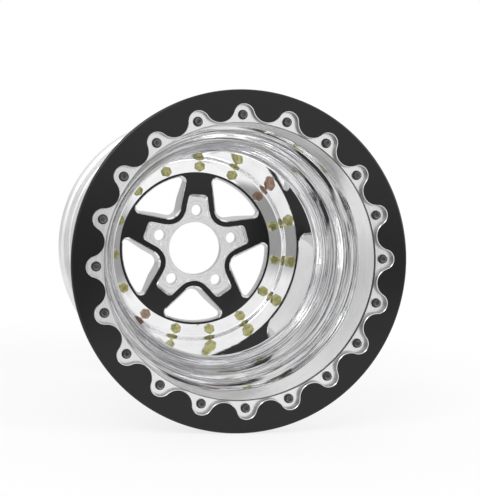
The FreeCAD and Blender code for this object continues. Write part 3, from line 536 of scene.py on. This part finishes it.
def make_outer_rim_half():
    corners = sheet_profile([
        (RING_BORE, SEAT_RING_BACK, 0.0),
        (LAND_END_RADIUS, LAND_END, STEP_BEND),
        (SHOULDER_FRONT_RADIUS, SHOULDER_FRONT, STEP_BEND),
        (SHOULDER_BACK_RADIUS, SHOULDER_BACK, STEP_BEND),
        (STEP_FRONT_RADIUS, STEP_FRONT, STEP_BEND),
        (STEP_BACK_RADIUS, STEP_BACK, STEP_BEND),
        (WELL_FRONT_RADIUS, WELL_FRONT, STEP_BEND),
        (WELL_RADIUS, CENTRE_FACE, FLANGE_BEND),
        (FLANGE_BORE, CENTRE_FACE, 0.0),
    ], 1)
    # The sheet's front edge is cut square to the axle
    corners[-1] = (RING_BORE + WALL, SEAT_RING_BACK, 0.0)
    made = draw_profile(corners)
    turn_round_axle(made)
    open_valve_hole(made)
    dull_tyre_side(made)
    # The land at the mouth is satin
    for face in made.faces:
        middle = face.calc_center_median()
        if middle.y < LAND_END - STEP_BEND / 2.0 and middle.xz.length < RING_BORE + MM:
            face.material_index = 2
    new_piece("polished_outer_half", made, [POLISHED, AS_SPUN, SATIN_CUT],
              "outer_rim_half")


# Inner rim half: flange, short well, bead seat and rolled rim flange
def make_inner_rim_half():
    path = [
        (FLANGE_BORE, INNER_FLANGE_FRONT, 0.0),
        (WELL_RADIUS + WALL, INNER_FLANGE_FRONT, FLANGE_BEND),
        (WELL_RADIUS + WALL, INNER_LAND_END, SEAT_BEND),
        (BEAD_SEAT, INNER_SEAT_FRONT, SEAT_BEND),
        (BEAD_SEAT, RIM_FLANGE_FACE, SEAT_BEND),
        (RIM_FLANGE, RIM_FLANGE_FACE, WALL),
        (RIM_FLANGE, BACKSPACING, 0.0),
    ]
    corners = sheet_profile(path, -1)
    # The two corners of the lip are rounded
    for index in (len(path) - 1, len(path)):
        radius, place, _ = corners[index]
        corners[index] = (radius, place, LIP_EDGE)
    made = draw_profile(corners)
    turn_round_axle(made)
    dull_tyre_side(made)
    new_piece("polished_inner_half", made, [POLISHED, AS_SPUN], "inner_rim_half")


# Bead seat ring: turned, with a rounded bead stop
def make_bead_seat_ring():
    stop_edge = 1.5 * MM
    made = draw_profile([
        (RING_BORE, RING_BACK + JOINT_EDGE, 0.0),
        (RING_BORE + JOINT_EDGE, RING_BACK, 0.0),
        (BEAD_SEAT, RING_BACK, JOINT_EDGE),
        (BEAD_SEAT, BEAD_STOP_FRONT, SEAT_BEND),
        (BEAD_STOP, BEAD_STOP_FRONT, stop_edge),
        (BEAD_STOP, SEAT_RING_BACK, stop_edge),
        (RING_BORE + JOINT_EDGE, SEAT_RING_BACK, 0.0),
        (RING_BORE, SEAT_RING_BACK - JOINT_EDGE, 0.0),
    ])
    turn_round_axle(made)
    new_piece("turned_seat_ring", made, [SATIN_CUT], "bead_seat_ring")


# Clamp ring: the scalloped edge of its face is drawn once round and then drawn out into the ring
class Scallop:
    """The wavy edge of the bolt pockets: arcs round the bolts, joined by arcs of the humps."""

    def __init__(self):
        self.half_pitch = math.pi / CLAMP_BOLTS
        # The arcs touch, so their centres lie a lobe's and a hump's radius apart
        lean = math.cos(self.half_pitch)
        beyond_lobe = HUMP_TIP ** 2 - POCKET_LOBE ** 2 + CLAMP_BOLT_CIRCLE ** 2
        beyond_lobe -= 2.0 * CLAMP_BOLT_CIRCLE * HUMP_TIP * lean
        hump = beyond_lobe / (2.0 * (CLAMP_BOLT_CIRCLE * lean - HUMP_TIP + POCKET_LOBE))
        self.bolt_centre = at_clock(CLAMP_BOLT_CIRCLE, RING_FACE, 0.0)
        self.hump_centre = at_clock(HUMP_TIP + hump, RING_FACE, self.half_pitch)

    def draw(self, made):
        """Draws one pocket's edge, from hump tip to hump tip, and repeats it round the wheel."""
        hump_steps = 8
        lobe_steps = 22
        left_hump = at_clock(self.hump_centre.xz.length, RING_FACE, -self.half_pitch)
        to_bolt = self.bolt_centre - left_hump
        to_axle = Vector((0.0, RING_FACE, 0.0)) - left_hump
        hump_turn = to_axle.angle(to_bolt)
        lobe_turn = 2.0 * (math.pi - to_bolt.angle(Vector((0.0, 0.0, 1.0))))
        arcs = (
            (left_hump, -hump_turn, hump_steps),
            (self.bolt_centre, lobe_turn, lobe_steps),
            (self.hump_centre, -hump_turn, hump_steps),
        )
        last = made.verts.new(at_clock(HUMP_TIP, RING_FACE, -self.half_pitch))
        for centre, turn, steps in arcs:
            drawn = bmesh.ops.spin(made, geom=[last], cent=centre, axis=AXLE, dvec=ORIGIN,
                                   angle=turn, steps=steps)
            last = drawn["geom_last"][0]
        repeat_round_axle(made, CLAMP_BOLTS)
        bmesh.ops.remove_doubles(made, verts=made.verts[:], dist=SAME_PLACE)

    def inset(self, point, amount):
        """Moves a point of the edge square to the edge, into the pocket."""
        on_arc = 0.01 * MM
        clock = math.atan2(point.x, point.z)
        pitch = 2.0 * self.half_pitch
        bolt = Matrix.Rotation(round(clock / pitch) * pitch, 3, "Y") @ self.bolt_centre
        if abs((point - bolt).length - POCKET_LOBE) < on_arc:
            return point + (bolt - point).normalized() * amount
        hump = Matrix.Rotation(math.floor(clock / pitch) * pitch, 3, "Y") @ self.hump_centre
        return point + (point - hump).normalized() * amount


def draw_out(made, edges, move):
    """Draws a loop of edges out to new places and gives back the new loop."""
    drawn = bmesh.ops.extrude_edge_only(made, edges=edges)["geom"]
    for item in drawn:
        if isinstance(item, bmesh.types.BMVert):
            item.co = move(item.co)
    return [item for item in drawn if isinstance(item, bmesh.types.BMEdge)]


def to_circle(radius, place):
    """A move that takes a point to a circle round the axle, at its own clock angle."""
    return lambda point: at_clock(radius, place, math.atan2(point.x, point.z))


def draw_out_quarter(made, loop, place, start):
    """Draws a loop round a quarter of the ring's rounded outer edge."""
    steps = 6
    for index in range(steps + 1):
        turn = start - math.pi / 2.0 * index / steps
        radius = RING_RADIUS - RING_EDGE + RING_EDGE * math.cos(turn)
        loop = draw_out(made, loop, to_circle(radius, place + RING_EDGE * math.sin(turn)))
    return loop


def make_clamp_ring():
    """A black ring; the floors and chamfers of its pockets are bright, and their walls are a much darker
    grey of the same cut metal, a painted shade.
    """
    scallop = Scallop()
    made = bmesh.new()
    scallop.draw(made)
    face_edge = made.edges[:]
    below = Vector((0.0, POCKET_CHAMFER, 0.0))
    drop = Vector((0.0, POCKET_FLOOR - RING_FACE - POCKET_CHAMFER, 0.0))
    loop = draw_out(made, face_edge, lambda point: scallop.inset(point, POCKET_CHAMFER) + below)
    chamfer_faces = len(made.faces)
    loop = draw_out(made, loop, lambda point: point + drop)
    wall_faces = len(made.faces)
    loop = draw_out(made, loop, to_circle(RING_BORE + JOINT_EDGE, POCKET_FLOOR))
    bright_faces = len(made.faces)
    for radius, place in ((RING_BORE, POCKET_FLOOR + JOINT_EDGE), (RING_BORE, RING_BACK),
                          (BEAD_SEAT, RING_BACK), (BEAD_SEAT, RING_CLAMP_FACE)):
        loop = draw_out(made, loop, to_circle(radius, place))
    loop = draw_out_quarter(made, loop, RING_CLAMP_FACE - RING_EDGE, math.pi / 2.0)
    loop = draw_out_quarter(made, loop, RING_FACE + RING_EDGE, 0.0)
    bmesh.ops.bridge_loops(made, edges=loop + face_edge)
    # The pocket walls get the much darker grey, painted shade; the chamfers and floors get the bright cut
    for index, face in enumerate(made.faces):
        if chamfer_faces <= index < wall_faces:
            face.material_index = 2
        elif index < bright_faces:
            face.material_index = 1
    bmesh.ops.recalc_face_normals(made, faces=made.faces[:])
    bmesh.ops.rotate(made, verts=made.verts[:], matrix=Matrix.Rotation(CLAMP_CLOCK, 3, "Y"))
    new_piece("scalloped_clamp_ring", made, [RING_BLACK, FLOOR_CUT, SHADED_POCKET_WALL],
              "beadlock_ring", sharp_angle=20.0)


# Fasteners are drawn standing on z and then taken to their circle, heads to the front
def stand_at_top(made, circle):
    lay_down = Matrix.Rotation(math.pi / 2.0, 4, "X")
    lift = Matrix.Translation((0.0, 0.0, circle))
    bmesh.ops.transform(made, matrix=lift @ lay_down, verts=made.verts[:])


def block(made, segments, low, high, low_radius, high_radius):
    """A round or many-sided block along z."""
    verts = bmesh.ops.create_cone(made, cap_ends=True, segments=segments, radius1=low_radius,
                                  radius2=high_radius, depth=high - low)["verts"]
    bmesh.ops.translate(made, verts=verts, vec=(0.0, 0.0, (low + high) / 2.0))
    return verts


def soften(made, verts, offset, angle=0.6, segments=2):
    """Rounds or breaks the sharp edges that meet at the given vertices."""
    edges = each_once(edge for vertex in verts for edge in vertex.link_edges)
    sharp = [edge for edge in edges if edge.calc_face_angle(0.0) > angle]
    bmesh.ops.bevel(made, geom=sharp, offset=offset, offset_type="OFFSET", affect="EDGES",
                    segments=segments, profile=0.5, material=-1)


def sink_dish(made, cap, rim, slope, depth):
    """Sinks a dish into a head inside its rim and gives back the dish's sloping faces."""
    bmesh.ops.inset_region(made, faces=cap, thickness=rim)
    return bmesh.ops.inset_region(made, faces=cap, thickness=slope, depth=-depth)["faces"]


def make_clamp_bolts():
    """Flanged bolts with twelve points, each with a shallow dish in the top whose sloping faces are
    painted lighter, a painted highlight.
    """
    points = 12
    point_radius = 5.3 * MM
    valley_share = 0.86
    flange_height = 1.6 * MM
    flange_top = 0.9 * CLAMP_FLANGE
    soft_edge = 0.2 * MM
    base = -POCKET_FLOOR
    top = base + CLAMP_HEAD_HEIGHT
    made = bmesh.new()
    flange = block(made, COLLAR_STEPS, base, base + flange_height, CLAMP_FLANGE, flange_top)
    soften(made, flange, soft_edge)
    head = block(made, 2 * points, base + flange_height, top, point_radius, point_radius)
    for vertex in head:
        step = round(math.atan2(vertex.co.y, vertex.co.x) / (math.pi / points))
        if step % 2:
            vertex.co.xy *= valley_share
    cap = [face for face in made.faces if face.calc_center_median().z > top - soft_edge]
    # The dish's sloping faces get the lighter oxide, a painted highlight
    for face in sink_dish(made, cap, rim=1.0 * MM, slope=1.1 * MM, depth=0.7 * MM):
        face.material_index = 1
    soften(made, head, soft_edge)
    stand_at_top(made, CLAMP_BOLT_CIRCLE)
    repeat_round_axle(made, CLAMP_BOLTS, CLAMP_CLOCK)
    new_piece("twelve_point_bolts", made, [BLACK_OXIDE, SHEEN_DISH_OXIDE], "beadlock_bolts")


def hexagon_block(made, low, high, end):
    """A hexagon with the corners of one end cut back and a dish there, as on a bolt head or nut."""
    sides = 6
    corner_cut = 1.5 * MM
    soft_edge = 0.25 * MM
    corner = JOINT_HEXAGON / math.sqrt(3.0)
    earlier = set(made.verts)
    verts = block(made, sides, low, high, corner, corner)
    corners = [vertex for vertex in verts if abs(vertex.co.z - end) < soft_edge]
    bmesh.ops.bevel(made, geom=corners, offset=corner_cut, offset_type="OFFSET", affect="VERTICES",
                    segments=1, profile=0.5, material=-1)
    cap = [face for face in made.faces if abs(face.calc_center_median().z - end) < soft_edge]
    sink_dish(made, cap, rim=1.3 * MM, slope=0.7 * MM, depth=0.5 * MM)
    added = [vertex for vertex in made.verts if vertex not in earlier]
    soften(made, added, soft_edge, angle=0.3)


def make_joint_bolts():
    """Hexagon bolts with a washer face and two turns of thread behind the nut; two are reddish."""
    washer_face = 0.6 * MM
    half_flats = JOINT_HEXAGON / 2.0
    thread_end = -NUT_BACK - 2.0 * MM
    thread_pitch = 1.0 * MM
    thread_root = JOINT_BOLT - 0.5 * MM
    reddish = (2, 9)
    made = bmesh.new()
    hexagon_block(made, -CENTRE_FACE + washer_face, -JOINT_HEAD_TOP, -JOINT_HEAD_TOP)
    collar = block(made, COLLAR_STEPS, -CENTRE_FACE, -CENTRE_FACE + washer_face, half_flats, half_flats)
    soften(made, collar, washer_face / 4.0)
    block(made, SHANK_STEPS, -NUT_BACK, -CENTRE_FACE, JOINT_BOLT, JOINT_BOLT)
    for root in (thread_end, thread_end + thread_pitch):
        crest = root + thread_pitch / 2.0
        block(made, SHANK_STEPS, root, crest, thread_root, JOINT_BOLT)
        block(made, SHANK_STEPS, crest, root + thread_pitch, JOINT_BOLT, thread_root)
    stand_at_top(made, JOINT_BOLT_CIRCLE)
    repeat_round_axle(made, JOINT_BOLTS)
    pitch = 2.0 * math.pi / JOINT_BOLTS
    for face in made.faces:
        middle = face.calc_center_median()
        number = round(math.atan2(middle.x, middle.z) / pitch) % JOINT_BOLTS
        face.material_index = 1 if number in reddish else 0
    new_piece("joint_bolt_set", made, [GOLD_ZINC, RED_ZINC], "center_bolts")


def make_joint_nuts():
    """Locknuts: a hexagon with a round collar behind it."""
    collar = 6.4 * MM
    collar_end = 5.9 * MM
    collar_height = 2.0 * MM
    back = -NUT_BACK
    made = bmesh.new()
    hexagon_block(made, back + collar_height, -WASHER_BACK, back + collar_height)
    round_end = block(made, COLLAR_STEPS, back, back + collar_height, collar_end, collar)
    soften(made, round_end, collar_height / 4.0)
    stand_at_top(made, JOINT_BOLT_CIRCLE)
    repeat_round_axle(made, JOINT_BOLTS)
    new_piece("joint_nut_set", made, [GOLD_ZINC], "center_nuts")


def make_joint_washers():
    soft_edge = 0.25 * MM
    made = bmesh.new()
    disc = block(made, WASHER_STEPS, -WASHER_BACK, -INNER_FLANGE_BACK, JOINT_WASHER, JOINT_WASHER)
    soften(made, disc, soft_edge)
    stand_at_top(made, JOINT_BOLT_CIRCLE)
    repeat_round_axle(made, JOINT_BOLTS)
    new_piece("joint_washer_set", made, [STEEL], "center_washers")


# Centre: the solid's own shape, merged, with chamfered windows, softened edges and bright cuts
def goes_through(face):
    """True for upright walls that go deeper than the star's floor."""
    return abs(face.normal.y) < UPRIGHT and max(vertex.co.y for vertex in face.verts) > STAR_FLOOR + MM


def is_window_wall(face):
    """True for the walls of the five windows, and not for those of the hub bore and lug holes."""
    middle = face.calc_center_median()
    lug_pitch = 2.0 * math.pi / LUG_HOLES
    lug_clock = round(math.atan2(middle.x, middle.z) / lug_pitch) * lug_pitch
    from_lug = middle.xz - at_clock(LUG_CIRCLE, middle.y, lug_clock).xz
    beside_window = HUB_BORE + MM < middle.xz.length < FLANGE_BORE - MM
    return goes_through(face) and beside_window and from_lug.length > LUG_SPOT_FACE + MM


def chamfer_windows(made):
    """Draws the windows' walls in behind a bare chamfer, so that the face keeps its outline."""
    walls = [face for face in made.faces if is_window_wall(face)]
    edges = each_once(edge for face in walls for edge in face.edges)
    verts = each_once(vertex for face in walls for vertex in face.verts)
    chamfer_end = Vector((0.0, CENTRE_FACE + WINDOW_CHAMFER, 0.0))
    bmesh.ops.bisect_plane(made, geom=walls + edges + verts, plane_co=chamfer_end, plane_no=AXLE,
                           dist=SAME_PLACE)
    inwards = {}
    for face in made.faces:
        if is_window_wall(face):
            for vertex in face.verts:
                inwards[vertex] = inwards.get(vertex, Vector()) + face.normal
    for vertex, direction in inwards.items():
        direction.y = 0.0
        vertex.co += direction.normalized() * WINDOW_CHAMFER


def make_centre():
    """A black face with a bright star; the walls in the windows, bore and lug holes are painted a darker
    grey, a painted shade.
    """
    hair = 0.1 * MM
    soft_edge = 0.3 * MM
    flat_angle = math.radians(0.5)
    front_end = STAR_FLOOR + 2.0 * MM
    made = bmesh.new()
    made.from_mesh(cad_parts["wheel_center"].data)
    bmesh.ops.remove_doubles(made, verts=made.verts[:], dist=SAME_PLACE)
    bmesh.ops.dissolve_limit(made, angle_limit=flat_angle, verts=made.verts[:], edges=made.edges[:])
    for face in made.faces:
        middle = face.calc_center_median()
        behind_face = middle.y > CENTRE_FACE + hair
        inside_flange = middle.xz.length < FLANGE_BORE - MM
        if face.normal.y < UPRIGHT and behind_face and inside_flange:
            # Walls that go through get the darker grey, painted shade; the star's floor gets the bright
            # cut
            face.material_index = 2 if goes_through(face) else 1
    chamfer_windows(made)
    bmesh.ops.recalc_face_normals(made, faces=made.faces[:])
    front = [vertex for vertex in made.verts if vertex.co.y < front_end]
    soften(made, front, soft_edge, segments=1)
    bmesh.ops.dissolve_degenerate(made, dist=SAME_PLACE, edges=made.edges[:])
    new_piece("star_centre", made, [CENTRE_BLACK, BRIGHT_CUT, SHADED_WALL_CUT],
              "wheel_center")


# Sealant: a hollow bead in the groove between the two bends
def make_sealant():
    fillet = 0.8 * MM
    hollow = 14.0 * MM
    sag = 1.2 * MM
    throat_reach = 0.6 * MM
    top_reach = 3.2 * MM
    top = WELL_RADIUS + 2.2 * MM
    throat = CENTRE_RIM + 4.0 * MM
    middle = (OUTER_FLANGE_BACK + INNER_FLANGE_FRONT) / 2.0
    made = draw_profile([
        (CENTRE_RIM, OUTER_FLANGE_BACK, 0.0),
        (throat, OUTER_FLANGE_BACK - throat_reach, 0.0),
        (top, OUTER_FLANGE_BACK - top_reach, fillet),
        (top - sag, middle, hollow),
        (top, INNER_FLANGE_FRONT + top_reach, fillet),
        (throat, INNER_FLANGE_FRONT + throat_reach, 0.0),
        (CENTRE_RIM, INNER_FLANGE_FRONT, 0.0),
    ])
    turn_round_axle(made, SMOOTH_STEPS // 2)
    new_piece("sealant_bead", made, [SEALANT], "joint_sealant")


def dress_inserts():
    """The inserts are hidden, so they keep the solids' own shape and only get a finish."""
    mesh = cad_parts["thread_inserts"].data
    mesh.materials.clear()
    mesh.materials.append(STEEL)


# Studio: pale floor, white surroundings, soft lamps and the camera
def make_floor():
    """A pale floor that keeps the wheel's soft shadow near it and fades to white further off."""
    half_width = 1.2
    height = cad_box[0][2]
    fade_span = (0.3, 0.9)
    white_shares = (0.75, 1.0)
    made = bmesh.new()
    bmesh.ops.create_grid(made, x_segments=1, y_segments=1, size=half_width)
    bmesh.ops.translate(made, verts=made.verts[:], vec=(0.0, 0.0, height))
    shade = Shade("pale_floor")
    cloud = shade.noise(shade.place, scale=3.0, detail=2.0)
    shade.finish(Base_Color=shade.blend(cloud, NOISE_SPAN, grey(0.85), grey(0.88)), Roughness=0.9)
    away = shade.length(*shade.parts(shade.place, "XY"))
    fade = shade.between(away, fade_span, white_shares, "SMOOTHSTEP") * shade.seen_or_mirrored()
    white = shade.node("ShaderNodeEmission", {}, {"Color": grey(1.0), "Strength": 1.0})
    plain = Value(shade, shade.surface.outputs[0])
    mixed = shade.node("ShaderNodeMixShader", {}, {0: fade, 1: plain, 2: white})
    shade.feed(shade.tree.nodes["Material Output"].inputs["Surface"], mixed)
    floor = add_mesh("studio_floor", made, [shade.material])


def make_surroundings():
    """White all round and a little weaker as soft light.

    Mirrors see two dimmer places: a gap in front, which opens lower and wider towards -X,
    and the horizon beside and behind the wheel.
    """
    soft_light = 0.85
    gap_opens = (0.12, -0.05)
    gap_middles = (-0.05, -0.14)
    gap_reaches = (0.04, 0.20)
    gap_edge = (0.55, 1.3)
    gap_dimming = 0.65
    front_edge = (-0.75, -0.9)
    horizon = 0.1
    horizon_edge = (0.08, 0.5)
    horizon_dimming = 0.3
    beside_edge = (-0.5, -0.1)
    world = bpy.data.worlds.new("white_studio")
    world.use_nodes = True
    bpy.context.scene.world = world
    nodes = Nodes(world.node_tree)
    x, y, z = nodes.parts(nodes.node("ShaderNodeTexCoord", {}, {}, "Generated"))
    middle = nodes.between(x, gap_opens, gap_middles)
    reach = nodes.between(x, gap_opens, gap_reaches)
    in_gap = nodes.between(abs(z - middle) / reach, gap_edge, (1.0, 0.0), "SMOOTHSTEP")
    in_front = nodes.between(y, front_edge, (0.0, 1.0), "SMOOTHSTEP")
    at_horizon = nodes.between(abs(z - horizon), horizon_edge, (1.0, 0.0), "SMOOTHSTEP")
    beside = nodes.between(y, beside_edge, (0.0, 1.0), "SMOOTHSTEP")
    dim = in_gap * in_front * gap_dimming + at_horizon * beside * horizon_dimming
    level = nodes.between(nodes.seen_or_mirrored(), (0.0, 1.0), (soft_light, 1.0))
    background = world.node_tree.nodes["Background"]
    nodes.feed(background.inputs["Color"], grey(1.0))
    nodes.feed(background.inputs["Strength"], level - dim * nodes.ray("Glossy"))


def make_lamp(name, place, size, power):
    """A square lamp that looks at the wheel."""
    lamp = bpy.data.lights.new(name, "AREA")
    lamp.size = size
    lamp.energy = power
    holder = add_object(name, lamp)
    holder.location = place
    holder.rotation_euler = (-Vector(place)).to_track_quat("-Z", "Y").to_euler()


def make_camera():
    """The photograph's view: left of the axle and a little above it."""
    turn = Matrix((CAMERA_RIGHT, CAMERA_UP, CAMERA_RIGHT.cross(CAMERA_UP))).transposed()
    lens = bpy.data.cameras.new("photo_camera")
    lens.lens = CAMERA_LENS
    camera = add_object("photo_camera", lens)
    camera.matrix_world = Matrix.Translation(CAMERA_PLACE) @ (CAMERA_ROLL @ turn).to_4x4()
    bpy.context.scene.camera = camera


make_outer_rim_half()
make_inner_rim_half()
make_bead_seat_ring()
make_clamp_ring()
make_clamp_bolts()
make_joint_bolts()
make_joint_nuts()
make_joint_washers()
make_centre()
make_sealant()
dress_inserts()
make_floor()
make_surroundings()
make_lamp("key_lamp", (-1.2, -1.8, 1.6), size=1.4, power=20.0)
make_lamp("fill_lamp", (1.8, -1.2, 0.8), size=1.4, power=10.0)
make_camera()
bpy.context.scene.view_settings.view_transform = "Standard"
# Light is thrown to and fro many times in the polished barrel before it leaves
bpy.context.scene.cycles.max_bounces = LIGHT_BOUNCES
bpy.context.scene.cycles.glossy_bounces = LIGHT_BOUNCES
